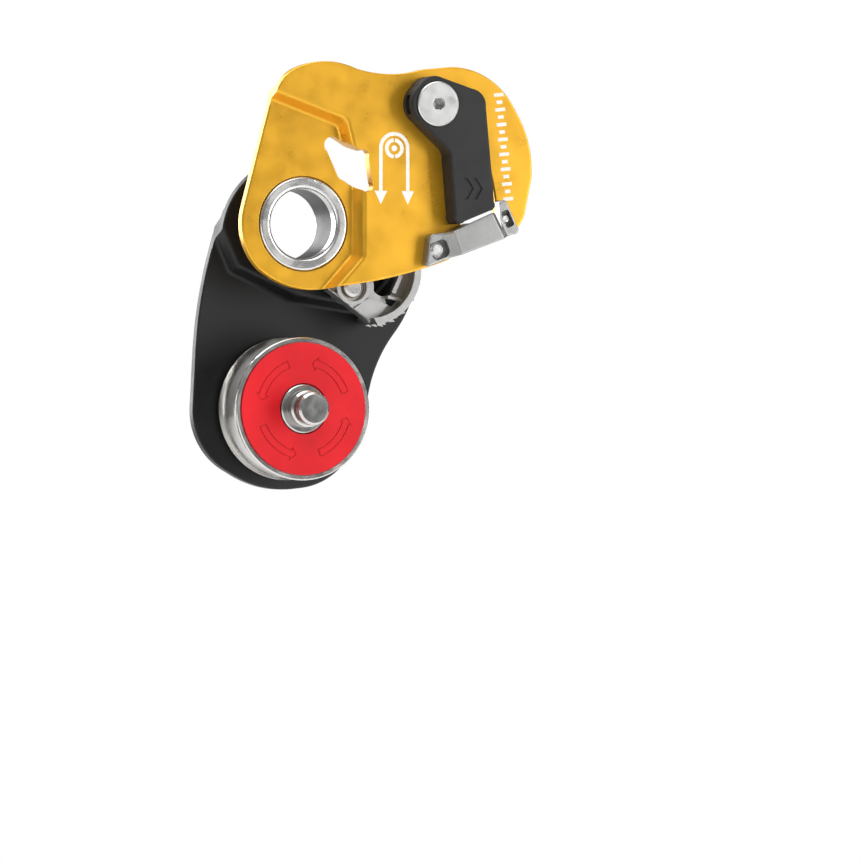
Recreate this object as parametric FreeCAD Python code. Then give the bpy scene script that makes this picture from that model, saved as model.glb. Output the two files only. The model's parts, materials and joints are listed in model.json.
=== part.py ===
import FreeCAD, Part
import os
from math import cos, degrees, pi, radians, sin, tan
from FreeCAD import Vector

# Rope pulley with a toothed cam, drawn hanging from its eye with the front cheek swung open.
# Millimetres. X right, Y away from the front, Z up. The origin is the eye centre, mid depth.

# ---- depths, measured along Y from the middle plane ------------------------------------
PLATE_T = 3.0          # both cheek plates
MAIN_IN = 8.0          # inner face of each plate beside the sheave
EYE_IN = 4.0           # inner face of each plate around the eye
MAIN_OUT = MAIN_IN + PLATE_T
EYE_OUT = EYE_IN + PLATE_T
JOG = MAIN_IN - EYE_IN
RAMP = 1.8            # width of each bend across its 4 mm step
BACK_SHIFT = 1.94     # keeps the wall of the bend as thick as the plate
EDGE_R = 0.45          # rounding of the plate rims
FOLD_R = 1.2           # rounding of the folds at each end of a bend
BEND_CORNER = 2.5      # rounding where one bend turns into the next
REAR_TAIL = 2.5       # the rear cheek reaches this much further past the sheave

# ---- eye -------------------------------------------------------------------------------
EYE_BORE_R = 9.35
EYE_TUBE_R = 11.0
EYE_FLANGE_R = 12.5
EYE_FACE = 7.5         # half of the eye's full width
EYE_END_R = 17.5       # plate edge around the eye
RUN = 0.05             # running clearance on turning fits

# ---- swing of the front cheek ----------------------------------------------------------
CLOSING = 114.0        # degrees from the drawn open pose to closed
AXLE_R = 49.3          # eye centre to sheave axle
SEAT_ANGLE = 24.0      # where the axle seat lies on the open front cheek
SLOT_HALF = 5.25

# ---- sheave, axle and bearing ----------------------------------------------------------
SHEAVE_R = 19.1
GROOVE_R = 12.5
SHEAVE_HALF = 6.9
CAP_R = 17.7
CAP_FACE = 7.4
BEARING_R = 10.0
BALL_PITCH_R = 7.05
BALL_R = 1.3
BALL_COUNT = 10
SHANK_R = 4.0
COLLAR_R = 6.5
BOSS_R = 4.9
NECK_R = 3.2
HEAD_R = 4.4
HEAD_FACE = 15.2

# ---- cam -------------------------------------------------------------------------------
CAM_X = 16.0
CAM_Z = -16.6
CAM_HALF = 6.0         # half width of the toothed rim
CAM_WALL = 2.0
CAM_WEB_HALF = 1.5
CAM_PIN_R = 2.0
CAM_HUB_R = 4.8
CAM_LOW = -60.0        # where the toothed rim starts and ends, in degrees from +X
CAM_HIGH = 19.0
CAM_LOW_R = 11.6       # radius of the rim at its lower end
CAM_GROWTH = 0.101     # millimetres of radius per degree
TOOTH_STEP = 7.0       # degrees between rows of teeth
CAM_STOP = (25.0, -9.1)

# ---- latch and bridge ------------------------------------------------------------------
LATCH_X = 34.7
LATCH_Z = 32.2
LATCH_FACE = 17.2
LATCH_SWING = 6.0
SCREW_HEAD_R = 6.0
NUT_SEAT = -9.4        # the latch nut is sunk into the back of the front cheek
BRIDGE_FOOT = 14.5
BRIDGE_FACE = 17.1
BRIDGE_IN = 15.6
BRIDGE_TILT = 20.4     # slope of the bridge, in degrees
RIVETS = ((36.3, -6.7), (56.2, 1.9))
RIVET_R = (1.5, 0.9)

AXLE = (0.0, -AXLE_R)
CAM = (CAM_X, CAM_Z)
LATCH = (LATCH_X, LATCH_Z)
AXIS_Y = Vector(0, 1, 0)


# ---- drawing helpers -------------------------------------------------------------------
def point(x, z, y=0.0):
    return Vector(x, y, z)


def polar(centre, radius, angle):
    a = radians(angle)
    return (centre[0] + radius * cos(a), centre[1] + radius * sin(a))


def outline(start, *steps):
    """Closed face in the XZ plane. A step is (x, z) for a line or (xm, zm, x, z) for an arc."""
    edges = []
    here = start
    for step in list(steps) + [start]:
        end = (step[-2], step[-1])
        if abs(end[0] - here[0]) + abs(end[1] - here[1]) < 1e-6:
            continue
        if len(step) == 4:
            arc = Part.Arc(point(*here), point(step[0], step[1]), point(*end))
            edges.append(arc.toShape())
        else:
            edges.append(Part.makeLine(point(*here), point(*end)))
        here = end
    return Part.Face(Part.Wire(edges))


def slab(face, y0, y1):
    part = face.extrude(Vector(0, y1 - y0, 0))
    part.translate(Vector(0, y0, 0))
    return part


def rod(centre, r, y0, y1):
    return Part.makeCylinder(r, y1 - y0, point(centre[0], centre[1], y0), AXIS_Y)


def ring(centre, outer, inner, y0, y1):
    return rod(centre, outer, y0, y1).cut(rod(centre, inner, y0 - 1, y1 + 1))


def turned(centre, profile):
    """Solid of revolution about a Y axis from (radius, y) corners and (rm, ym, r, y) arcs."""
    edges = []
    here = profile[0]
    for step in list(profile[1:]) + [profile[0]]:
        end = (step[-2], step[-1])
        a = Vector(here[0], here[1], 0)
        b = Vector(end[0], end[1], 0)
        if len(step) == 4:
            edges.append(Part.Arc(a, Vector(step[0], step[1], 0), b).toShape())
        else:
            edges.append(Part.makeLine(a, b))
        here = end
    solid = Part.Face(Part.Wire(edges)).revolve(Vector(0, 0, 0), AXIS_Y, 360)
    solid.translate(point(*centre))
    return solid


def turn_about(shape, centre, angle):
    """Turn about a Y axis; positive is clockwise seen from the front."""
    out = shape.copy()
    out.rotate(point(*centre), AXIS_Y, angle)
    return out


def mirrored(shape):
    return shape.mirror(Vector(0, 0, 0), AXIS_Y)


def smooth_corners(face, radius):
    """Face whose corners, inside and outside, are rounded to radius."""
    face = face.makeOffset2D(-radius)
    face = face.makeOffset2D(2 * radius)
    return face.makeOffset2D(-radius)


def lip_cut(wide, y_wide, narrow, y_narrow):
    """Tapered tool that bevels the rim of a cut-out, from a wide outline to a narrow one."""
    mouth = wide.OuterWire.copy()
    throat = narrow.OuterWire.copy()
    mouth.translate(Vector(0, y_wide, 0))
    throat.translate(Vector(0, y_narrow, 0))
    return Part.makeLoft([mouth, throat], True, True)


def soften(shape, radius, wanted):
    """Round the edges picked by wanted(edge)."""
    edges = [e for e in shape.Edges if wanted(e)]
    return shape.makeFillet(radius, edges)


def on_plane(y):
    def wanted(edge):
        box = edge.BoundBox
        return abs(box.YMin - y) < 0.01 and abs(box.YMax - y) < 0.01
    return wanted


def hexagon(centre, across_flats, y0, y1):
    r = across_flats / 2 / cos(pi / 6)
    corners = [polar(centre, r, 60 * i) for i in range(6)]
    return slab(outline(*corners), y0, y1)


# ---- cheek plates ----------------------------------------------------------------------
def cheek_outline(tail=0.0):
    """Edge of a cheek in the open front position; tail lengthens the end round the sheave."""
    t = tail
    heel = [(62.9, 3.4), (61.3, 0.2, 58.6, -2.3)]
    if tail:
        heel = [(63.4, 2.8, 54.0, -4.1)]
    return outline(
        (-17.0, 4.2),
        (-9.4, 32.4),
        (-7.9, 37.6, -3.1, 41.6),
        (5.0, 43.3 - 0.3 * t, 13.6, 41.6 - 0.1 * t),
        (23.0, 40.3, 32.7, 41.7),
        (41.0 + 0.3 * t, 42.6 + 0.1 * t),
        (52.5 + 0.8 * t, 39.6 + 0.6 * t, 60.3 + t, 31.0 + 0.7 * t),
        (64.2 + t, 22.0 + 0.4 * t, 64.9 + 0.8 * t, 13.0),
        *heel,
        (40.9, -9.1),
        (25.0, -13.9, 9.0, -16.6),
        (0.2, -EYE_END_R, -12.6, -12.1),
        (-17.3, -3.0, -17.0, 4.2))


def bend_line(d):
    """Bend line round the recessed area at the eye, moved outward by d, with round corners."""
    corners = [
        (-60.0, -60.0), (-60.0, 51.0 + 1.06 * d), (-9.5, 33.2 + 1.06 * d),
        (9.6 + 0.74 * d, 26.5 + 0.86 * d), (14.1 + d, 9.5 + 0.13 * d),
        (14.1 + d, -7.9 - 0.35 * d), (-33.2 + 1.35 * d, -60.0)]
    edges = []
    here = None
    for before, at, after in zip(corners[-1:] + corners[:-1], corners, corners[1:] + corners[:1]):
        start, middle, end = corner_arc(before, at, after)
        if here:
            edges.append(Part.makeLine(point(*here), point(*start)))
        else:
            first = start
        edges.append(Part.Arc(point(*start), point(*middle), point(*end)).toShape())
        here = end
    edges.append(Part.makeLine(point(*here), point(*first)))
    return Part.Wire(edges)


def corner_arc(before, at, after):
    """Start, middle and end of the arc of radius BEND_CORNER that rounds one corner."""
    corner = Vector(at[0], at[1], 0)
    back = (Vector(before[0], before[1], 0) - corner).normalize()
    ahead = (Vector(after[0], after[1], 0) - corner).normalize()
    half = back.getAngle(ahead) / 2
    start = corner + back * (BEND_CORNER / tan(half))
    end = corner + ahead * (BEND_CORNER / tan(half))
    inward = (back + ahead).normalize()
    middle = corner + inward * (BEND_CORNER / sin(half) - BEND_CORNER)
    return (start.x, start.y), (middle.x, middle.y), (end.x, end.y)


def pocket(d_far, y_far, d_near, y_near):
    """Flared block from the bend line at y_near out to y_far."""
    far = bend_line(d_far)
    near = bend_line(d_near)
    far.translate(Vector(0, y_far, 0))
    near.translate(Vector(0, y_near, 0))
    return Part.makeLoft([far, near], True, True)


def rounded_slab(face, y0, y1):
    """Slab with both outer rims rounded."""
    part = slab(face, y0, y1)
    front = on_plane(y0)
    back = on_plane(y1)
    return soften(part, EDGE_R, lambda edge: front(edge) or back(edge))


def fold_edges(y):
    """Edges of a bend tool at depth y, leaving out the straight rim of its backing block."""
    flat = on_plane(y)

    def wanted(edge):
        box = edge.BoundBox
        return flat(edge) and box.XMin > -90 and box.XMax < 90 and box.ZMax < 90
    return wanted


def bend_tool(d_wide, y_wide, d_narrow, y_narrow):
    """Block in front of y_wide with the flared recess below it, all its folds rounded."""
    block = Part.makeBox(200, 20, 200, Vector(-100, y_wide - 20, -100))
    tool = pocket(d_wide, y_wide, d_narrow, y_narrow).fuse(block).removeSplitter()
    tool = soften(tool, FOLD_R, fold_edges(y_wide))
    return soften(tool, FOLD_R, fold_edges(y_narrow))


def cheek_sheet(tail=0.0):
    """Bent plate in the open front position, without holes."""
    edge = smooth_corners(cheek_outline(tail), 1.5)
    recess = bend_tool(RAMP, -MAIN_OUT, 0.0, -EYE_OUT)
    inside = bend_tool(BACK_SHIFT + RAMP, -MAIN_IN, BACK_SHIFT, -EYE_IN)
    flat = rounded_slab(edge, -MAIN_OUT, -MAIN_IN).cut(recess)
    eye_zone = rounded_slab(edge, -EYE_OUT, -EYE_IN).common(inside)
    bend = slab(edge, -MAIN_OUT + EDGE_R, -EYE_IN - EDGE_R).common(inside)
    bend = bend.common(bend_band()).cut(recess)
    return flat.fuse([eye_zone, bend]).removeSplitter()


def bend_band():
    """Band on both sides of the bend line, wide enough for the rounded folds."""
    outside = pocket(5.5, -20.0, 5.5, 0.0)
    return outside.cut(pocket(-1.5, -21.0, -1.5, 1.0))


def window_outline():
    return outline(
        (18.2, 11.2),
        (17.2, 17.8),
        (16.8, 19.6, 15.0, 19.7),
        (9.2, 23.2),
        (6.6, 22.6, 6.9, 19.4),
        (9.6, 13.6),
        (10.2, 12.5, 11.4, 11.8),
        (16.0, 8.9),
        (17.9, 9.0, 18.2, 11.2))


def arc_slot(half, turn_from, turn_to, mouth):
    """Arc slot about the eye from the axle seat out through the plate's edge."""
    seat = polar((0, 0), AXLE_R, SEAT_ANGLE + turn_from)
    inner = AXLE_R - half
    outer = AXLE_R + half
    mid = (SEAT_ANGLE + mouth) / 2
    a = SEAT_ANGLE + turn_from
    b = mouth + turn_to
    return outline(
        polar((0, 0), inner, b),
        polar((0, 0), inner, mid) + polar((0, 0), inner, a),
        polar(seat, half, a + 90) + polar((0, 0), outer, a),
        polar((0, 0), outer, mid) + polar((0, 0), outer, b))


def make_front_plate():
    plate = cheek_sheet()
    slot = arc_slot(SLOT_HALF, 0, 0, -30)
    plate = plate.cut(slab(slot, -MAIN_OUT - 1, -MAIN_IN + 1))
    wide = arc_slot(SLOT_HALF + 0.4, 0, 0, -30)
    narrow = arc_slot(SLOT_HALF - 0.4, 0, 0, -30)
    plate = plate.cut(lip_cut(wide, -MAIN_OUT, narrow, -MAIN_OUT + 0.8))
    plate = plate.cut(lip_cut(wide, -MAIN_IN, narrow, -MAIN_IN - 0.8))
    plate = plate.cut(slab(window_outline(), -MAIN_OUT - 1, -EYE_IN + 1))
    flare = outline((42.6, -2.0), (40.4, -9.8), (46.0, -9.8), (46.0, -2.0))
    plate = plate.cut(slab(flare, -MAIN_OUT - 1, -MAIN_IN + 1))
    plate = plate.cut(rod((0, 0), EYE_TUBE_R + RUN, -20, 0))
    plate = plate.cut(rod((0, 0), EYE_FLANGE_R + 0.3, -EYE_OUT - 1, -EYE_OUT + 1.1))
    plate = plate.cut(rod(LATCH, 2.5, -20, 0)).cut(rod(LATCH, 4.6, NUT_SEAT, 0))
    for spot, r in zip(RIVETS, RIVET_R):
        plate = plate.cut(rod(spot, r, -20, 0))
    return plate


def bridge_outline():
    return outline(
        (32.6, -9.8),
        (33.3, -4.8),
        (33.8, -3.0, 35.6, -2.4),
        (39.0, -1.9),
        (51.9, 3.7),
        (53.6, 5.9),
        (55.2, 6.9, 56.5, 5.6),
        (59.3, -0.4),
        (59.3, -1.7, 58.0, -2.2),
        (34.2, -10.8),
        (32.9, -10.9, 32.6, -9.8))


def step_cut(at, turn):
    """Wedge that lowers one end of the bridge from its raised middle to foot height."""
    side = Part.makePolygon([
        Vector(-60, -BRIDGE_FACE - 5, 0), Vector(0, -BRIDGE_FACE - 5, 0),
        Vector(0, -BRIDGE_FACE, 0), Vector(-2.2, -BRIDGE_FOOT, 0),
        Vector(-60, -BRIDGE_FOOT, 0), Vector(-60, -BRIDGE_FACE - 5, 0)])
    wedge = Part.Face(side).extrude(Vector(0, 0, 80))
    wedge.translate(Vector(0, 0, -40))
    wedge.rotate(Vector(0, 0, 0), AXIS_Y, turn)
    wedge.translate(point(*at))
    return wedge


def rivet_pocket(spot, long, wide, turn):
    """Rounded rectangular recess in a bridge foot."""
    box = Part.makeBox(wide, 6, long, Vector(-wide / 2, -MAIN_OUT - 1.5 - 6, -long / 2))
    upright = [e for e in box.Edges if e.BoundBox.YLength > 5]
    box = box.makeFillet(min(long, wide) * 0.3, upright)
    box.rotate(Vector(0, 0, 0), AXIS_Y, turn)
    box.translate(point(*spot))
    return box


def make_bridge():
    """Cast strap across the mouth of the slot; it stands clear of the passing axle head."""
    body = slab(smooth_corners(bridge_outline(), 0.6), -BRIDGE_FACE, -MAIN_OUT)
    body = body.cut(step_cut((40.3, -4.6), -BRIDGE_TILT))
    body = body.cut(step_cut((52.2, 0.2), 180 - BRIDGE_TILT - 8))
    rim = [e for e in body.Edges if e.BoundBox.YMax < -BRIDGE_FOOT + 0.01]
    body = body.makeFillet(0.45, rim)
    body = body.cut(slab(arc_slot(HEAD_R + 0.4, 0, 0, -40), -BRIDGE_IN, -MAIN_OUT + 1))
    body = body.cut(rivet_pocket(RIVETS[0], 5.0, 5.2, -BRIDGE_TILT))
    body = body.cut(rivet_pocket(RIVETS[1], 4.8, 2.5, -25))
    for spot, r in zip(RIVETS, RIVET_R):
        body = body.cut(rod(spot, r, -20, -10))
    return body


def make_rivet(spot, r, head_r):
    y = -MAIN_OUT - 1.5
    return turned(spot, [
        (0, -MAIN_IN - 0.3), (r, -MAIN_IN - 0.3), (r, y), (head_r, y),
        (head_r, y - 0.5), (head_r * 0.7, y - 0.9), (0, y - 0.9)])


def make_rear_plate():
    plate = mirrored(turn_about(cheek_sheet(REAR_TAIL), (0, 0), CLOSING))
    plate = plate.cut(rod((0, 0), EYE_TUBE_R, 0, 20))
    plate = plate.cut(rod(AXLE, SHANK_R, 0, 20))
    plate = plate.cut(rod(CAM, CAM_PIN_R, 0, 20))
    plate = plate.cut(rod(CAM_STOP, 1.5, 0, 20))
    return plate


# ---- eye parts -------------------------------------------------------------------------
def make_eye_bushing():
    f = EYE_FACE
    return turned((0, 0), [
        (EYE_BORE_R, -f + 1.2),
        (EYE_BORE_R + 0.3, -f + 0.3, EYE_BORE_R + 1.1, -f),
        (EYE_FLANGE_R - 0.8, -f),
        (EYE_FLANGE_R - 0.2, -f + 0.2, EYE_FLANGE_R, -f + 0.8),
        (EYE_FLANGE_R, -EYE_OUT + 1.05),
        (EYE_TUBE_R, -EYE_OUT + 1.05),
        (EYE_TUBE_R, -EYE_IN + 0.05),
        (EYE_BORE_R, -EYE_IN + 0.05)])


def make_eye_sleeve():
    return turned((0, 0), [
        (EYE_BORE_R, -EYE_IN + 0.05), (13.6, -EYE_IN + 0.05), (13.6, EYE_IN),
        (EYE_TUBE_R, EYE_IN), (EYE_TUBE_R, EYE_OUT), (EYE_BORE_R, EYE_OUT)])


def make_eye_rear_ring():
    return turned((0, 0), [
        (EYE_BORE_R, EYE_OUT), (EYE_FLANGE_R, EYE_OUT), (EYE_FLANGE_R, EYE_FACE),
        (EYE_FLANGE_R - 0.5, EYE_FACE + 0.4), (EYE_BORE_R + 1.1, EYE_FACE + 0.4),
        (EYE_BORE_R, EYE_FACE - 0.2)])


# ---- axle, bearing and sheave ----------------------------------------------------------
def make_axle():
    return turned(AXLE, [
        (0, -HEAD_FACE),
        (HEAD_R - 0.6, -HEAD_FACE),
        (HEAD_R, -HEAD_FACE + 0.6),
        (HEAD_R, -HEAD_FACE + 1.5),
        (HEAD_R - 0.6, -13.0),
        (NECK_R, -13.0),
        (NECK_R, -MAIN_OUT),
        (BOSS_R - 0.5, -MAIN_OUT),
        (BOSS_R, -MAIN_OUT + 0.5),
        (BOSS_R, -7.75),
        (COLLAR_R - 0.3, -7.75),
        (COLLAR_R, -7.45),
        (COLLAR_R, -6.2),
        (SHANK_R, -6.2),
        (SHANK_R, MAIN_OUT),
        (2.0, MAIN_OUT),
        (2.0, -2.0),
        (0, -3.2)])


def make_axle_screw():
    screw = turned(AXLE, [
        (0, 0.0), (2.0, 0.0), (2.0, MAIN_OUT), (6.4, MAIN_OUT), (6.4, MAIN_OUT + 1.0),
        (5.2, MAIN_OUT + 2.4), (0, MAIN_OUT + 2.4)])
    return screw.cut(hexagon(AXLE, 4.0, MAIN_OUT + 0.6, MAIN_OUT + 3))


def race_torus():
    return Part.makeTorus(BALL_PITCH_R, BALL_R + 0.3, point(*AXLE), AXIS_Y)


def make_inner_race():
    return ring(AXLE, 5.75, SHANK_R, -6.2, 6.2).cut(race_torus())


def make_outer_race():
    return ring(AXLE, BEARING_R, 8.35, -4.5, 4.5).cut(race_torus())


def ball_spots():
    return [polar(AXLE, BALL_PITCH_R, 360.0 * i / BALL_COUNT) for i in range(BALL_COUNT)]


def make_balls():
    return Part.makeCompound([Part.makeSphere(BALL_R, point(*s)) for s in ball_spots()])


def make_ball_cage():
    cage = ring(AXLE, 7.7, 6.4, -1.7, 1.7)
    for spot in ball_spots():
        outward = point(spot[0] - AXLE[0], spot[1] - AXLE[1]).normalize()
        start = point(*AXLE) + outward * 5.0
        cage = cage.cut(Part.makeCylinder(BALL_R + 0.04, 4.0, start, outward))
    return cage


def make_seal(side):
    seal = ring(AXLE, BEARING_R, 6.05, 4.5, 5.1)
    return seal if side > 0 else mirrored(seal)


def make_sheave():
    w = SHEAVE_HALF
    body = turned(AXLE, [
        (BEARING_R, -5.1),
        (12.0, -5.1), (12.0, -6.5), (17.9, -6.5), (17.9, -w), (SHEAVE_R - 0.3, -w),
        (SHEAVE_R, -w + 0.3),
        (SHEAVE_R, -5.9),
        (GROOVE_R, 0, SHEAVE_R, 5.9),
        (SHEAVE_R, w - 0.3), (SHEAVE_R - 0.3, w), (16.0, w), (14.6, w - 1.6),
        (11.6, w - 1.6), (11.6, 5.1), (BEARING_R, 5.1)])
    return body


def arrow_band(inset, a0, a1):
    """Circular arrow on the cap pointing at a1, its edge moved inwards by inset."""
    r0 = 11.4 + inset
    r1 = 13.6 - inset
    mid = (a0 + a1) / 2
    a0 = a0 + degrees(inset / 12.5)
    wing = 0.9 - 0.6 * inset
    tip = a1 + 8.0 - degrees(1.6 * inset / 12.5)
    return outline(
        polar(AXLE, r0, a0),
        polar(AXLE, r0, mid) + polar(AXLE, r0, a1 + degrees(inset / 12.5)),
        polar(AXLE, r0 - wing, a1 + degrees(inset / 12.5)),
        polar(AXLE, 12.5, tip),
        polar(AXLE, r1 + wing, a1 + degrees(inset / 12.5)),
        polar(AXLE, r1, a1 + degrees(inset / 12.5)),
        polar(AXLE, r1, mid) + polar(AXLE, r1, a0))


def make_sheave_cap():
    cap = ring(AXLE, CAP_R, COLLAR_R + 0.3, -CAP_FACE, -6.5)
    cap = cap.fuse(ring(AXLE, 11.9, COLLAR_R + 0.3, -6.5, -5.15)).removeSplitter()
    for a0 in (20, 110, 200, 290):
        band = arrow_band(0.0, a0, a0 + 52)
        inner = arrow_band(0.3, a0, a0 + 52)
        groove = slab(band, -CAP_FACE - 1, -CAP_FACE + 0.22)
        cap = cap.cut(groove.cut(slab(inner, -CAP_FACE - 2, -CAP_FACE + 1)))
    return cap


# ---- cam -------------------------------------------------------------------------------
def cam_polar(radius, angle):
    return polar(CAM, radius, angle)


def cam_radius(angle):
    """Working radius of the rim, growing with angle."""
    return CAM_LOW_R + CAM_GROWTH * (angle - CAM_LOW)


def rim_face(inset_out, inset_in, a0, a1):
    mid = (a0 + a1) / 2
    return outline(
        cam_polar(cam_radius(a0) - inset_out, a0),
        cam_polar(cam_radius(mid) - inset_out, mid) + cam_polar(cam_radius(a1) - inset_out, a1),
        cam_polar(cam_radius(a1) - inset_in, a1),
        cam_polar(cam_radius(mid) - inset_in, mid) + cam_polar(cam_radius(a0) - inset_in, a0))


def tooth(angle, y):
    base = cam_radius(angle) - 0.4
    x, z = cam_polar(base, angle)
    lean = radians(angle + 22)
    return Part.makeCone(0.85, 0.12, 1.7, point(x, z, y), Vector(cos(lean), 0, sin(lean)))


def make_cam():
    rim = slab(rim_face(0.0, CAM_WALL, CAM_LOW, CAM_HIGH), -CAM_HALF, CAM_HALF)
    web_edge = outline(
        (9.4, -17.6),
        (20.6, -25.6),
        cam_polar(cam_radius(CAM_LOW) - 0.5, CAM_LOW),
        cam_polar(cam_radius(-17.5) - 0.5, -17.5)
        + cam_polar(cam_radius(CAM_HIGH) - 0.5, CAM_HIGH),
        cam_polar(6.2, 60),
        cam_polar(6.2, 110) + cam_polar(6.7, 170))
    web = slab(web_edge, -CAM_WEB_HALF, CAM_WEB_HALF)
    hub = rod(CAM, CAM_HUB_R, -3.3, 1.0).fuse(rod(CAM, 3.6, 1.0, 3.7))
    tail = outline(
        (9.4, -17.6), (20.6, -25.6), (23.6, -24.9), (20.6, -21.2),
        (19.6, -20.0), (16.0, -21.2), (12.4, -18.6))
    cam = rim.fuse(web).fuse(hub).fuse(slab(tail, -2.7, 1.4))
    window = outline(
        cam_polar(6.6, -8),
        cam_polar(6.6, 5) + cam_polar(6.6, 18),
        cam_polar(14.6, 20),
        cam_polar(13.8, 5) + cam_polar(12.0, -7),
        cam_polar(9.2, -15) + cam_polar(6.6, -8))
    notch = outline((25.9, -19.8), (29.2, -20.3), (27.8, -21.7), (26.2, -21.2))
    for opening in (window, notch):
        cam = cam.cut(slab(opening, -CAM_HALF, CAM_HALF))
    pad = outline(
        (16.2, -22.3), (20.5, -19.4), (26.0, -21.3), (24.6, -23.2), (22.4, -24.9), (20.2, -25.0))
    ledge = outline((26.0, -18.8), (29.9, -19.5), (29.8, -20.4), (26.0, -19.7))
    rib = outline((29.3, -13.2), (30.4, -13.5), (28.2, -18.4), (27.1, -17.9))
    for raised in (pad, ledge, rib):
        cam = cam.fuse(slab(raised, -3.2, -CAM_WEB_HALF + 0.2))
    spikes = []
    count = int((CAM_HIGH - CAM_LOW - 6) / TOOTH_STEP) + 1
    for i in range(count):
        angle = CAM_LOW + 5 + TOOTH_STEP * i
        rows = (-4.2, 0.0, 4.2) if i % 2 == 0 else (-2.1, 2.1)
        for y in rows:
            spikes.append(tooth(angle, y))
    cam = cam.multiFuse(spikes)
    cam = cam.cut(rod(CAM, CAM_PIN_R + 1.0, -10, 10))
    cam = cam.cut(rod(CAM, 3.8, -10, -2.0))
    return cam.removeSplitter()


def make_cam_bush():
    return ring(CAM, CAM_PIN_R + 1.0, CAM_PIN_R + RUN, -2.0, 3.7)


def make_cam_pin():
    return turned(CAM, [
        (0, -3.7), (1.9, -3.7), (2.7, -3.2), (2.7, -2.1), (CAM_PIN_R, -2.1),
        (CAM_PIN_R, 3.85), (4.2, 3.85), (4.2, EYE_IN), (CAM_PIN_R, EYE_IN),
        (CAM_PIN_R, EYE_OUT + 1.0), (0, EYE_OUT + 1.0)])


def make_cam_pin_ring():
    return turned(CAM, [
        (CAM_PIN_R, EYE_OUT), (2.9, EYE_OUT), (2.9, EYE_OUT + 0.5), (2.6, EYE_OUT + 0.8),
        (CAM_PIN_R, EYE_OUT + 0.8)])


def make_cam_stop():
    return turned(CAM_STOP, [
        (0, -1.4), (1.3, -1.4), (1.5, -1.2), (1.5, EYE_OUT + 0.4),
        (0.9, EYE_OUT + 0.7), (0, EYE_OUT + 0.7)])


def make_coil(centre, radius, wire, y0, turns, leg):
    """Close-wound torsion spring about a Y axis, with one straight leg."""
    pitch = wire * 2.2
    helix = Part.makeHelix(pitch, pitch * turns, radius)
    section = Part.Wire(Part.makeCircle(wire, Vector(radius, 0, 0), AXIS_Y))
    coil = Part.Wire(helix).makePipeShell([section], True, True)
    coil.rotate(Vector(0, 0, 0), Vector(1, 0, 0), -90)
    coil.translate(point(centre[0], centre[1], y0 + wire))
    bar = Part.makeCylinder(wire, leg, point(centre[0] + radius, centre[1], y0 + wire),
                            Vector(0, 0, 1))
    return coil.fuse(bar)


# ---- latch -----------------------------------------------------------------------------
def latch_outline():
    return outline(
        (29.0, 28.0),
        (27.1, 32.4, 29.3, 36.9),
        (32.0, 39.3, 36.4, 39.2),
        (45.0, 36.5),
        (47.9, 34.9, 48.9, 31.6),
        (51.3, 6.2),
        (51.3, 4.6, 50.1, 3.9),
        (42.6, 0.9),
        (40.6, 0.4, 39.6, 2.6),
        (38.3, 17.4),
        (38.0, 19.4, 36.9, 20.8))


def make_latch_cover():
    edge = smooth_corners(latch_outline(), 0.8)
    body = slab(edge, -LATCH_FACE, -MAIN_OUT - 0.15)
    body = soften(body, 0.7, on_plane(-LATCH_FACE))
    inner = [rod(LATCH, 6.4, -15.6, -10)]
    for turn in (0.0, LATCH_SWING / 2, LATCH_SWING):
        sweep = slab(arc_slot(HEAD_R + 0.5, 0, 0, -30), -BRIDGE_IN, -10)
        inner.append(turn_about(sweep, LATCH, turn))
    for tool in inner:
        body = body.cut(tool)
    body = body.cut(slab(latch_plate_outline(0.15), -13.05, -10))
    body = body.cut(rod(LATCH, 3.2 + RUN, -30, 0))
    body = body.cut(rod(LATCH, SCREW_HEAD_R + 0.2, -30, -16.2))
    spring_slot = Part.makeBox(4.5, 2.6, 5.0, Vector(25.6, -15.2, 29.6))
    body = body.cut(spring_slot)
    for dx in (0.0, 2.6):
        mark = outline(
            (42.0 + dx, 12.6), (43.2 + dx, 12.6), (45.1 + dx, 9.8), (43.4 + dx, 6.8),
            (42.2 + dx, 6.8), (43.8 + dx, 9.8))
        body = body.cut(slab(mark, -LATCH_FACE - 1, -LATCH_FACE + 0.35))
    return body


def latch_plate_outline(grow):
    """Hub, arm and hook of the steel latch plate."""
    g = grow
    return outline(
        (LATCH_X - 5.6 - g, LATCH_Z),
        (LATCH_X, LATCH_Z + 5.6 + g, LATCH_X + 5.6 + g, LATCH_Z),
        (LATCH_X + 4.8 + g, LATCH_Z - 6.0),
        (40.8 + g, 23.0),
        (40.2 + g, 18.6),
        (40.6 + g, 15.4 + g),
        (43.9 + g, 12.6 + g),
        (44.4 + g, 10.4),
        (42.4 + g, 9.2 - g),
        (40.6 - g, 9.8 - g),
        (38.9 - g, 18.6),
        (37.4 - g, 21.4),
        (30.4 - g, 27.8))


def make_latch_plate():
    plate = slab(latch_plate_outline(0.0), -12.85, -MAIN_OUT - 0.15)
    return plate.cut(rod(LATCH, 3.2 + RUN, -30, 0))


def make_latch_bush():
    return turned(LATCH, [
        (2.0, -16.25), (3.2, -16.25), (3.2, -MAIN_OUT), (2.5, -MAIN_OUT), (2.5, NUT_SEAT),
        (2.0, NUT_SEAT)])


def make_latch_screw():
    screw = turned(LATCH, [
        (0, -LATCH_FACE - 0.6), (SCREW_HEAD_R - 0.3, -LATCH_FACE - 0.6),
        (SCREW_HEAD_R, -LATCH_FACE - 0.3), (SCREW_HEAD_R, -16.25), (2.0, -16.25),
        (2.0, -MAIN_IN - 0.1), (0, -MAIN_IN - 0.1)])
    screw = screw.cut(rod(LATCH, 1.75, -LATCH_FACE - 2, -LATCH_FACE - 0.2))
    return screw.cut(hexagon(LATCH, 2.9, -LATCH_FACE - 2, -15.4))


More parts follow.
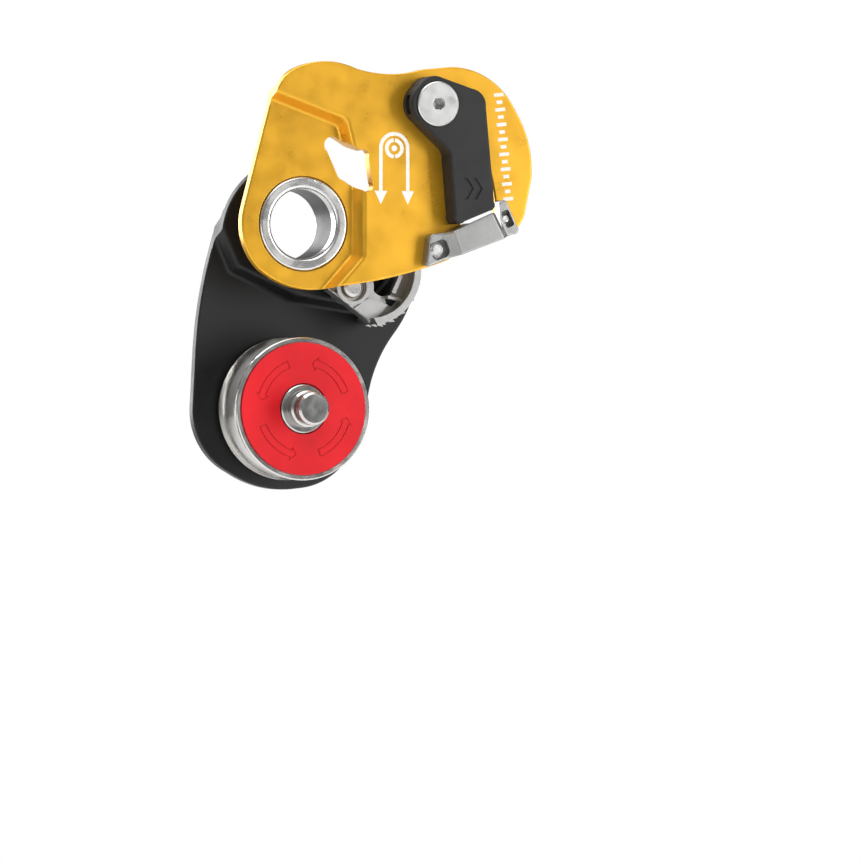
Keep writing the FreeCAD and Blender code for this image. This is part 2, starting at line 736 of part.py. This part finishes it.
def make_latch_nut():
    return turned(LATCH, [
        (2.0, NUT_SEAT), (4.6, NUT_SEAT), (4.6, -MAIN_IN - 0.1), (2.0, -MAIN_IN - 0.1)])


# ---- assembly --------------------------------------------------------------------------
def build():
    return {
        "rear_side_plate": make_rear_plate(),
        "eye_bushing": make_eye_bushing(),
        "eye_sleeve": make_eye_sleeve(),
        "eye_rear_ring": make_eye_rear_ring(),
        "sheave_axle": make_axle(),
        "axle_screw": make_axle_screw(),
        "axle_spacer": ring(AXLE, 6.5, SHANK_R, 6.2, MAIN_IN),
        "bearing_inner_race": make_inner_race(),
        "cam_pin": make_cam_pin(),
        "cam_pin_ring": make_cam_pin_ring(),
        "cam_stop_pin": make_cam_stop(),
        "front_side_plate": make_front_plate(),
        "bridge_strap": make_bridge(),
        "bridge_rivet_left": make_rivet(RIVETS[0], RIVET_R[0], 2.1),
        "bridge_rivet_right": make_rivet(RIVETS[1], RIVET_R[1], 1.25),
        "latch_screw": make_latch_screw(),
        "latch_bush": make_latch_bush(),
        "latch_nut": make_latch_nut(),
        "latch_cover": make_latch_cover(),
        "latch_plate": make_latch_plate(),
        "latch_spring": make_coil(LATCH, 4.4, 0.4, -15.3, 1.75, 1.4),
        "sheave": make_sheave(),
        "sheave_cap": make_sheave_cap(),
        "bearing_outer_race": make_outer_race(),
        "bearing_front_seal": make_seal(-1),
        "bearing_rear_seal": make_seal(1),
        "bearing_balls": make_balls(),
        "bearing_cage": make_ball_cage(),
        "cam": make_cam(),
        "cam_bush": make_cam_bush(),
        "cam_spring": make_coil(CAM, 4.3, 0.35, 1.75, 1.75, 1.4),
    }


os.makedirs("parts", exist_ok=True)
for name, solid in build().items():
    if not solid.isValid():
        raise ValueError(name + " is not a valid solid")
    solid.exportStep("parts/" + name + ".step")
    print(name, len(solid.Solids), "solid(s)", round(solid.Volume, 1), "mm3")
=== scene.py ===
import json
from math import cos, radians, sin

import bmesh
import bpy
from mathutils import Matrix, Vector


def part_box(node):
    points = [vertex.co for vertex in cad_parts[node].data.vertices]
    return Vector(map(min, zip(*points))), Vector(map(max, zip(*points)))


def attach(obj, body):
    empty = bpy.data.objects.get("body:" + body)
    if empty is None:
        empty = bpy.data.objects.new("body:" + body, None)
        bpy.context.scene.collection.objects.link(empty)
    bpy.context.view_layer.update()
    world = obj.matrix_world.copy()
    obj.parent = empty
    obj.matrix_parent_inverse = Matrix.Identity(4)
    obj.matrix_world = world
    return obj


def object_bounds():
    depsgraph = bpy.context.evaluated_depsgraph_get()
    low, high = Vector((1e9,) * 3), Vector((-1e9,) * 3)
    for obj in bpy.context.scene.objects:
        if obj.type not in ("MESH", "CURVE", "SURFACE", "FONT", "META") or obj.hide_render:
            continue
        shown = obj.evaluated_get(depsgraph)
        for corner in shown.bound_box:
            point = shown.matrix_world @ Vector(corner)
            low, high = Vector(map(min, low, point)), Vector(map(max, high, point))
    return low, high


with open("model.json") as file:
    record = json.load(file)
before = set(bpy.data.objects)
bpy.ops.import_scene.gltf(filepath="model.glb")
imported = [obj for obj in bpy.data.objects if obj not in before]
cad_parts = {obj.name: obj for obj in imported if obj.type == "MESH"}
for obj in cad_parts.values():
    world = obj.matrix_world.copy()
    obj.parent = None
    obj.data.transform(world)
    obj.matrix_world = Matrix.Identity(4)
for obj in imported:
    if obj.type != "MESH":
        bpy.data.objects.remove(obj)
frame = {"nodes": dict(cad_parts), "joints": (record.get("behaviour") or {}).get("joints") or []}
cad_low, cad_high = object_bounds()
MM = 0.001

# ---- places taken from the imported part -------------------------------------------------
joint_place = {joint["name"]: Vector(joint["pos_m"]) for joint in frame["joints"]}
EYE = joint_place["cheek_swing"]
AXLE = joint_place["sheave_spin"]
CAM = joint_place["cam_swing"]
LATCH = joint_place["latch_swing"]
cheek_low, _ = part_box("front_side_plate")
CHEEK_FACE = cheek_low.y
MIDDLE = (cad_low + cad_high) / 2

# ---- view ------------------------------------------------------------------------------
VIEW_TURN = 23.0       # degrees from square on, seen from the front left
VIEW_TARGET = Vector((0.0398, 0.0, -0.0551))
VIEW_DISTANCE = 1.6
LENS = 247.5           # mm, on a sensor SENSOR mm wide
SENSOR = 36.0


# ---- materials -------------------------------------------------------------------------
BEVEL_SAMPLES = 4
EDGE_GAIN = 9.0        # how steeply the edge mask rises where the surface turns


def grey(value):
    return (value,) * 3


def shades(base, dark, light):
    """A colour dimmed by one factor and raised by another, for the ends of a ramp."""
    return [dark * c for c in base], [light * c for c in base]


class Nodes:
    """Short way to build a node tree round one Principled shader."""

    def __init__(self, name):
        self.material = bpy.data.materials.new(name)
        self.material.use_nodes = True
        self.tree = self.material.node_tree
        self.shader = self.tree.nodes["Principled BSDF"]
        self.place = self.add("ShaderNodeTexCoord").outputs["Object"]

    def add(self, kind, **values):
        node = self.tree.nodes.new(kind)
        for key, value in values.items():
            setattr(node, key, value)
        return node

    def link(self, a, b):
        self.tree.links.new(a, b)

    def noise(self, scale, detail=4.0, vector=None, stretch=(1, 1, 1)):
        """Noise from 0 to 1; scale is in cells per metre, along object axes by default."""
        mapping = self.add("ShaderNodeMapping")
        mapping.inputs["Scale"].default_value = stretch
        self.link(vector or self.place, mapping.inputs["Vector"])
        node = self.add("ShaderNodeTexNoise")
        node.inputs["Scale"].default_value = scale
        node.inputs["Detail"].default_value = detail
        self.link(mapping.outputs["Vector"], node.inputs["Vector"])
        return node.outputs["Fac"]

    def math(self, operation, a, b):
        node = self.add("ShaderNodeMath", operation=operation)
        for socket, value in zip(node.inputs, (a, b)):
            if isinstance(value, (int, float)):
                socket.default_value = value
            else:
                self.link(value, socket)
        return node.outputs["Value"]

    def rings(self, centre, scale):
        """Fine concentric turning marks about a Y axis through centre."""
        offset = self.add("ShaderNodeVectorMath", operation="SUBTRACT")
        self.link(self.place, offset.inputs[0])
        offset.inputs[1].default_value = centre
        flat = self.add("ShaderNodeVectorMath", operation="MULTIPLY")
        self.link(offset.outputs["Vector"], flat.inputs[0])
        flat.inputs[1].default_value = (1, 0, 1)
        length = self.add("ShaderNodeVectorMath", operation="LENGTH")
        self.link(flat.outputs["Vector"], length.inputs[0])
        split = self.add("ShaderNodeSeparateXYZ")
        self.link(offset.outputs["Vector"], split.inputs[0])
        joined = self.add("ShaderNodeCombineXYZ")
        self.link(length.outputs["Value"], joined.inputs["X"])
        self.link(split.outputs["Y"], joined.inputs["Y"])
        return self.noise(scale, detail=3.0, vector=joined.outputs["Vector"])

    def ramp(self, value, low, high, start=0.35, end=0.65):
        """Colour or number between low and high as value goes from start to end."""
        node = self.add("ShaderNodeValToRGB")
        for stop, place, colour in zip(node.color_ramp.elements, (start, end), (low, high)):
            stop.position = place
            stop.color = colour if len(colour) == 4 else tuple(colour) + (1.0,)
        self.link(value, node.inputs["Fac"])
        return node.outputs["Color"]

    def mix(self, factor, a, b):
        node = self.add("ShaderNodeMix", data_type="RGBA")
        for socket, value in zip((node.inputs[0], node.inputs[6], node.inputs[7]), (factor, a, b)):
            if isinstance(value, (int, float)):
                socket.default_value = value
            elif isinstance(value, tuple):
                socket.default_value = value if len(value) == 4 else value + (1.0,)
            else:
                self.link(value, socket)
        return node.outputs[2]

    def relief(self, layers, edge):
        """Bump from (height, strength, depth in metres) layers over softly rounded edges."""
        bevel = self.add("ShaderNodeBevel", samples=BEVEL_SAMPLES)
        bevel.inputs["Radius"].default_value = edge
        normal = bevel.outputs["Normal"]
        for height, strength, depth in layers:
            bump = self.add("ShaderNodeBump")
            bump.inputs["Strength"].default_value = strength
            bump.inputs["Distance"].default_value = depth
            self.link(height, bump.inputs["Height"])
            self.link(normal, bump.inputs["Normal"])
            normal = bump.outputs["Normal"]
        self.link(normal, self.shader.inputs["Normal"])

    def edges(self, radius):
        """1 on sharp edges and 0 on flat faces."""
        bevel = self.add("ShaderNodeBevel", samples=BEVEL_SAMPLES)
        bevel.inputs["Radius"].default_value = radius
        surface = self.add("ShaderNodeNewGeometry")
        dot = self.add("ShaderNodeVectorMath", operation="DOT_PRODUCT")
        self.link(bevel.outputs["Normal"], dot.inputs[0])
        self.link(surface.outputs["Normal"], dot.inputs[1])
        away = self.math("SUBTRACT", 1.0, dot.outputs["Value"])
        return self.math("MINIMUM", self.math("MULTIPLY", away, EDGE_GAIN), 1.0)

    def settle(self, colour, metallic, roughness):
        """Wire the last colour and roughness into the shader and give the material."""
        self.link(colour, self.shader.inputs["Base Color"])
        self.shader.inputs["Metallic"].default_value = metallic
        if isinstance(roughness, (int, float)):
            self.shader.inputs["Roughness"].default_value = roughness
        else:
            self.link(roughness, self.shader.inputs["Roughness"])
        return self.material


def anodised(name, base, edge_highlight, metallic, rough, coat):
    """Satin anodised plate: soft cloudiness, fine grain, and a paler painted highlight on every
    edge.
    """
    n = Nodes(name)
    cloud = n.noise(45, detail=3)
    grain = n.noise(2600, detail=2)
    colour = n.ramp(cloud, *shades(base, 0.93, 1.05))
    # painted highlight: a paler colour is mixed onto every edge found by the bevel mask
    colour = n.mix(n.math("MULTIPLY", n.edges(0.25 * MM), 0.55), colour, edge_highlight)
    n.relief([(grain, 0.12, 0.012 * MM)], edge=0.18 * MM)
    n.shader.inputs["Coat Weight"].default_value = coat
    n.shader.inputs["Coat Roughness"].default_value = 0.3
    tone = n.ramp(n.noise(160), grey(rough - 0.04), grey(rough + 0.05))
    return n.settle(colour, metallic, tone)


def turned_metal(name, base, rough, centre, grain=2600, depth=0.012):
    """Lathe-turned metal with concentric marks about one axis, depth mm deep."""
    n = Nodes(name)
    marks = n.rings(centre, grain)
    smudge = n.noise(220)
    colour = n.ramp(marks, *shades(base, 0.86, 1.06), start=0.25, end=0.75)
    colour = n.mix(n.math("MULTIPLY", smudge, 0.14), colour, SMUDGE)
    n.relief([(marks, 0.5, depth * MM)], edge=0.14 * MM)
    tone = n.ramp(smudge, grey(rough - 0.05), grey(rough + 0.07))
    return n.settle(colour, 1.0, tone)


def cast_metal(name, base, rough):
    """Bead-blasted casting: pitted skin, painted shade in its hollows, and a painted highlight on
    the edges.
    """
    n = Nodes(name)
    skin = n.noise(1900, detail=5)
    cloud = n.noise(140, detail=3)
    colour = n.ramp(cloud, *shades(base, 0.88, 1.06))
    # painted shade: darker where the bump noise dips, as if shade lay in the hollows of the skin
    pit_shade = n.ramp(skin, grey(0.22), grey(0.0), start=0.3, end=0.5)
    colour = n.mix(pit_shade, colour, CAST_PIT_SHADE)
    # painted highlight: a paler steel colour is mixed onto every edge found by the bevel mask
    colour = n.mix(n.math("MULTIPLY", n.edges(0.2 * MM), 0.6), colour, CAST_EDGE_HIGHLIGHT)
    n.relief([(skin, 0.3, 0.03 * MM)], edge=0.22 * MM)
    tone = n.ramp(skin, grey(rough + 0.1), grey(rough - 0.05))
    return n.settle(colour, 0.9, tone)


def moulded(name, base, edge_highlight, rough, grain, depth, gloss):
    """Moulded plastic or rubber with a fine spark-eroded skin, depth mm deep, and a painted
    highlight on the edges.
    """
    n = Nodes(name)
    skin = n.noise(grain, detail=3)
    colour = n.ramp(n.noise(70, detail=3), *shades(base, 0.9, 1.08))
    # painted highlight: a paler colour is mixed onto every edge found by the bevel mask
    colour = n.mix(n.math("MULTIPLY", n.edges(0.2 * MM), 0.35), colour, edge_highlight)
    n.relief([(skin, 0.35, depth * MM)], edge=0.15 * MM)
    n.shader.inputs["Specular IOR Level"].default_value = gloss
    tone = n.ramp(n.noise(260), grey(rough - 0.05), grey(rough + 0.06))
    return n.settle(colour, 0.0, tone)


def wire_metal(name, base, rough):
    """Drawn or ground steel with faint streaks."""
    n = Nodes(name)
    streak = n.noise(900, stretch=(1, 6, 1))
    colour = n.ramp(streak, *shades(base, 0.82, 1.08))
    n.relief([(streak, 0.25, 0.01 * MM)], edge=0.05 * MM)
    return n.settle(colour, 1.0, n.ramp(streak, grey(rough), grey(rough + 0.1)))


def printed(name):
    """Screen-printed white ink, a little uneven."""
    n = Nodes(name)
    film = n.noise(900)
    colour = n.ramp(film, (0.80, 0.78, 0.70), (0.92, 0.91, 0.86))
    n.relief([(film, 0.2, 0.01 * MM)], edge=0.01 * MM)
    return n.settle(colour, 0.0, n.ramp(film, grey(0.45), grey(0.58)))


STEEL = (0.60, 0.60, 0.585)
PIN_STEEL = (0.62, 0.62, 0.61)
BRIGHT_STEEL = (0.72, 0.72, 0.71)
ALUMINIUM = (0.70, 0.70, 0.69)
SMUDGE = (0.35, 0.33, 0.30)
CAST = (0.34, 0.34, 0.335)
# painted shade colour for the hollows of the castings
CAST_PIT_SHADE = (0.16, 0.155, 0.15)
# painted edge highlight colour for the castings
CAST_EDGE_HIGHLIGHT = (0.62, 0.62, 0.61)

# The paler second colours below are painted edge highlights, mixed onto every edge of their part.
looks = {
    "front_side_plate": anodised(
        "yellow_anodised", base=(0.79, 0.41, 0.022), edge_highlight=(0.92, 0.62, 0.14),
        metallic=0.62, rough=0.31, coat=0.12),
    "rear_side_plate": anodised(
        "black_anodised", base=(0.009, 0.009, 0.0095), edge_highlight=(0.075, 0.075, 0.08),
        metallic=0.35, rough=0.44, coat=0.0),
    "eye_sleeve": anodised(
        "dark_sleeve", base=(0.018, 0.018, 0.019), edge_highlight=(0.12, 0.12, 0.12),
        metallic=0.35, rough=0.42, coat=0.0),
    "eye_bushing": turned_metal("eye_aluminium", ALUMINIUM, 0.27, EYE),
    "eye_rear_ring": turned_metal("eye_ring_aluminium", ALUMINIUM, 0.3, EYE),
    "sheave": turned_metal(
        "sheave_aluminium", (0.66, 0.65, 0.63), 0.2, AXLE, grain=1800, depth=0.02),
    "sheave_axle": turned_metal("axle_steel", STEEL, 0.2, AXLE),
    "axle_screw": turned_metal("axle_screw_steel", STEEL, 0.26, AXLE),
    "axle_spacer": turned_metal("axle_spacer_steel", STEEL, 0.26, AXLE),
    "cam_pin": turned_metal("cam_pin_steel", PIN_STEEL, 0.32, CAM, depth=0.004),
    "cam_pin_ring": turned_metal("cam_pin_ring_steel", STEEL, 0.3, CAM),
    "cam_stop_pin": wire_metal("stop_pin_steel", STEEL, 0.25),
    "latch_screw": turned_metal(
        "latch_screw_steel", PIN_STEEL, 0.32, LATCH, grain=3000, depth=0.016),
    "latch_bush": turned_metal("latch_bush_steel", STEEL, 0.28, LATCH),
    "latch_nut": turned_metal("latch_nut_steel", STEEL, 0.3, LATCH),
    "bridge_strap": cast_metal("bridge_cast_steel", CAST, 0.36),
    "latch_plate": cast_metal("latch_cast_steel", CAST, 0.34),
    "cam": cast_metal("cam_cast_steel", (0.42, 0.42, 0.415), 0.36),
    "bridge_rivet_left": wire_metal("rivet_steel", BRIGHT_STEEL, 0.25),
    "bearing_inner_race": turned_metal("inner_race_steel", STEEL, 0.14, AXLE),
    "bearing_outer_race": turned_metal("outer_race_steel", STEEL, 0.14, AXLE),
    "bearing_balls": wire_metal("ball_steel", (0.72, 0.72, 0.72), 0.06),
    "latch_cover": moulded(
        "black_nylon", base=(0.019, 0.019, 0.0195), edge_highlight=(0.065, 0.065, 0.065),
        rough=0.55, grain=3800, depth=0.035, gloss=0.3),
    "sheave_cap": moulded(
        "red_nylon", base=(0.68, 0.007, 0.014), edge_highlight=(0.80, 0.06, 0.07),
        rough=0.42, grain=4600, depth=0.018, gloss=0.25),
    "bearing_front_seal": moulded(
        "seal_rubber", base=(0.016, 0.016, 0.016), edge_highlight=(0.05, 0.05, 0.05),
        rough=0.6, grain=2600, depth=0.03, gloss=0.35),
    "bearing_cage": moulded(
        "cage_polyamide", base=(0.42, 0.30, 0.17), edge_highlight=(0.6, 0.48, 0.3),
        rough=0.5, grain=2600, depth=0.03, gloss=0.45),
    "cam_bush": wire_metal("bush_bronze", (0.20, 0.155, 0.10), 0.4),
    "latch_spring": wire_metal("spring_wire", (0.33, 0.33, 0.34), 0.25),
}
looks["bridge_rivet_right"] = looks["bridge_rivet_left"]
looks["bearing_rear_seal"] = looks["bearing_front_seal"]
looks["cam_spring"] = looks["latch_spring"]

for node, material in looks.items():
    slots = frame["nodes"][node].data.materials
    slots.clear()
    slots.append(material)


# ---- printed marks on the front cheek --------------------------------------------------
INK = 0.03 * MM        # height of the print above the face
INK_DEPTH = 0.98       # share of that height that the film fills, clear of the face
print_material = printed("white_print")


def printed_mark(name, shapes):
    """Thin raised film on the cheek's face; shapes are outlines as (x, z) in millimetres."""
    mesh = bpy.data.meshes.new(name)
    work = bmesh.new()
    for shape in shapes:
        ring = [work.verts.new((x * MM, CHEEK_FACE - INK, z * MM)) for x, z in shape]
        work.faces.new(ring)
    made = bmesh.ops.extrude_face_region(work, geom=list(work.faces))
    back = [item for item in made["geom"] if isinstance(item, bmesh.types.BMVert)]
    bmesh.ops.translate(work, vec=(0, INK * INK_DEPTH, 0), verts=back)
    bmesh.ops.recalc_face_normals(work, faces=list(work.faces))
    work.to_mesh(mesh)
    work.free()
    mesh.materials.append(print_material)
    piece = bpy.data.objects.new(name, mesh)
    bpy.context.scene.collection.objects.link(piece)
    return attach(piece, "front_cheek")


def band(points, width):
    """Closed outline of a stroke of even width along points."""
    left = []
    right = []
    for i, here in enumerate(points):
        before = Vector(points[max(i - 1, 0)])
        after = Vector(points[min(i + 1, len(points) - 1)])
        along = (after - before).normalized()
        side = Vector((-along.y, along.x)) * width / 2
        left.append(tuple(Vector(here) + side))
        right.append(tuple(Vector(here) - side))
    return left + right[::-1]


def arc_points(centre, radius, start, end, count):
    """Points along an arc; angles in degrees, anticlockwise from +X."""
    turns = [radians(start + (end - start) * i / (count - 1)) for i in range(count)]
    return [(centre[0] + radius * cos(a), centre[1] + radius * sin(a)) for a in turns]


def arrow_head(tip, turn, long, wide):
    """Triangle with its point at tip; turn is its heading in degrees from +X."""
    a = radians(turn)
    along = Vector((cos(a), sin(a)))
    side = Vector((-along.y, along.x)) * wide / 2
    base = Vector(tip) - along * long
    return [tuple(tip), tuple(base + side), tuple(base - side)]


# A rope over a wheel, with an arrow at each end of the rope.
WHEEL = (24.6, 20.4)
WHEEL_R = 2.2
WHEEL_GAP = 5          # degrees left open on each side of the wheel's top and foot
HUB_R = 0.8
HUB_POINTS = 24
ROPE_R = 3.9
STROKE = 1.0
ARROW = 3.6            # length and width of a head
ARROW_TIP = 5.4        # height of both tips
ROPE_END = ARROW_TIP + ARROW - 0.05


def rope_sign():
    left_x = WHEEL[0] - ROPE_R
    right_x = WHEEL[0] + ROPE_R
    rope = arc_points(WHEEL, ROPE_R, 180, 0, 25)
    return [
        band([(left_x, ROPE_END)] + rope + [(right_x, ROPE_END)], STROKE),
        arrow_head((left_x, ARROW_TIP), -90, ARROW, ARROW),
        arrow_head((right_x, ARROW_TIP), -90, ARROW, ARROW),
        band(arc_points(WHEEL, WHEEL_R, 90 + WHEEL_GAP, 270 - WHEEL_GAP, 21), STROKE),
        band(arc_points(WHEEL, WHEEL_R, 270 + WHEEL_GAP, 450 - WHEEL_GAP, 21), STROKE),
        arc_points(WHEEL, HUB_R, 0, 360 - 360 / HUB_POINTS, HUB_POINTS),
    ]


# A ladder of short and long ticks up the cheek's outer edge.
TICK_LOW = Vector((57.9, 7.4))
TICK_HIGH = Vector((55.1, 35.4))
TICK_COUNT = 15
LONG_TICK = 1.45       # half length
SHORT_TICK = 0.85
TICK_WIDTH = 0.95


def tick_ladder():
    along = (TICK_HIGH - TICK_LOW).normalized()
    across = Vector((along.y, -along.x))
    ticks = []
    for i in range(TICK_COUNT):
        middle = TICK_LOW.lerp(TICK_HIGH, i / (TICK_COUNT - 1))
        half = across * (LONG_TICK if i % 2 == 0 else SHORT_TICK)
        ticks.append(band([tuple(middle - half), tuple(middle + half)], TICK_WIDTH))
    return ticks


printed_mark("print_rope_sign", rope_sign())
printed_mark("print_tick_ladder", tick_ladder())


# ---- floor, light and view -------------------------------------------------------------
FLOOR_DROP = 0.5
FLOOR_R = 4.0
SUN_STRENGTH = 1.5
SUN_SPREAD = 60        # degrees
ROOM_STRENGTH = 0.38
# Height in the room from 0 straight below to 1 straight above, and the grey there.
ROOM_GREYS = ((0.0, 0.30), (0.42, 0.30), (0.56, 0.55), (0.75, 0.95))
# name, place in metres, size in metres, power in watts
SOFTBOXES = (
    ("key", (0.80, -0.80, -0.02), (0.45, 0.8), 7.4),
    ("top", (-0.15, -0.55, 0.85), (0.8, 0.5), 3.0),
    ("left", (-0.9, -0.6, -0.35), (0.25, 0.7), 1.6),
    ("crown", (-0.47, 0.40, 0.78), (0.28, 0.28), 5.0),
    ("back", (-0.5, 1.0, 0.25), (0.9, 0.9), 12.0),
)


def make_floor():
    """Pale paper floor well below the part."""
    bpy.ops.mesh.primitive_circle_add(
        vertices=96, radius=FLOOR_R, fill_type="NGON", location=(0, 0, cad_low.z - FLOOR_DROP))
    floor = bpy.context.object
    floor.name = "floor"
    n = Nodes("floor_paper")
    tone = n.ramp(n.noise(300, 2), (0.87, 0.87, 0.865), (0.90, 0.90, 0.895))
    floor.data.materials.append(n.settle(tone, 0.0, 0.8))


def softbox(name, place, size, power):
    """Rectangular lamp aimed at the part's middle."""
    data = bpy.data.lights.new(name, "AREA")
    data.shape = "RECTANGLE"
    data.size, data.size_y = size
    data.energy = power
    lamp = bpy.data.objects.new(name, data)
    lamp.location = place
    lamp.rotation_mode = "QUATERNION"
    lamp.rotation_quaternion = (MIDDLE - lamp.location).to_track_quat("-Z", "Y")
    lamp.visible_camera = False
    bpy.context.scene.collection.objects.link(lamp)


def make_world():
    """White to the camera; pale above and grey below for light and reflections."""
    world = bpy.data.worlds.new("studio")
    world.use_nodes = True
    tree = world.node_tree
    tree.nodes.clear()
    place = tree.nodes.new("ShaderNodeTexCoord")
    split = tree.nodes.new("ShaderNodeSeparateXYZ")
    height = tree.nodes.new("ShaderNodeMapRange")
    height.inputs["From Min"].default_value = -1.0
    ramp = tree.nodes.new("ShaderNodeValToRGB")
    while len(ramp.color_ramp.elements) < len(ROOM_GREYS):
        ramp.color_ramp.elements.new(0.5)
    for stop, (position, tone) in zip(ramp.color_ramp.elements, ROOM_GREYS):
        stop.position = position
        stop.color = (tone, tone, tone, 1.0)
    room = tree.nodes.new("ShaderNodeBackground")
    room.inputs["Strength"].default_value = ROOM_STRENGTH
    white = tree.nodes.new("ShaderNodeBackground")
    white.inputs["Color"].default_value = (1, 1, 1, 1)
    path = tree.nodes.new("ShaderNodeLightPath")
    mix = tree.nodes.new("ShaderNodeMixShader")
    out = tree.nodes.new("ShaderNodeOutputWorld")
    link = tree.links.new
    link(place.outputs["Generated"], split.inputs[0])
    link(split.outputs["Z"], height.inputs["Value"])
    link(height.outputs["Result"], ramp.inputs["Fac"])
    link(ramp.outputs["Color"], room.inputs["Color"])
    link(path.outputs["Is Camera Ray"], mix.inputs[0])
    link(room.outputs["Background"], mix.inputs[1])
    link(white.outputs["Background"], mix.inputs[2])
    link(mix.outputs["Shader"], out.inputs["Surface"])
    bpy.context.scene.world = world


def make_camera():
    """Level view from the front left, with the part in the frame's upper left."""
    turn = radians(VIEW_TURN)
    ahead = Vector((sin(turn), cos(turn), 0.0))
    data = bpy.data.cameras.new("camera")
    data.lens = LENS
    data.sensor_width = SENSOR
    data.clip_start = 0.05
    data.clip_end = 50.0
    camera = bpy.data.objects.new("camera", data)
    camera.location = VIEW_TARGET - ahead * VIEW_DISTANCE
    camera.rotation_mode = "QUATERNION"
    camera.rotation_quaternion = ahead.to_track_quat("-Z", "Y")
    bpy.context.scene.collection.objects.link(camera)
    bpy.context.scene.camera = camera


def overhead():
    """Broad overhead light that whitens the floor and catches the upper edges."""
    data = bpy.data.lights.new("overhead", "SUN")
    data.energy = SUN_STRENGTH
    data.angle = radians(SUN_SPREAD)
    lamp = bpy.data.objects.new("overhead", data)
    bpy.context.scene.collection.objects.link(lamp)


make_floor()
make_world()
overhead()
for lamp_name, lamp_place, lamp_size, watts in SOFTBOXES:
    softbox(lamp_name, lamp_place, lamp_size, watts)
make_camera()
bpy.context.scene.view_settings.view_transform = "Standard"
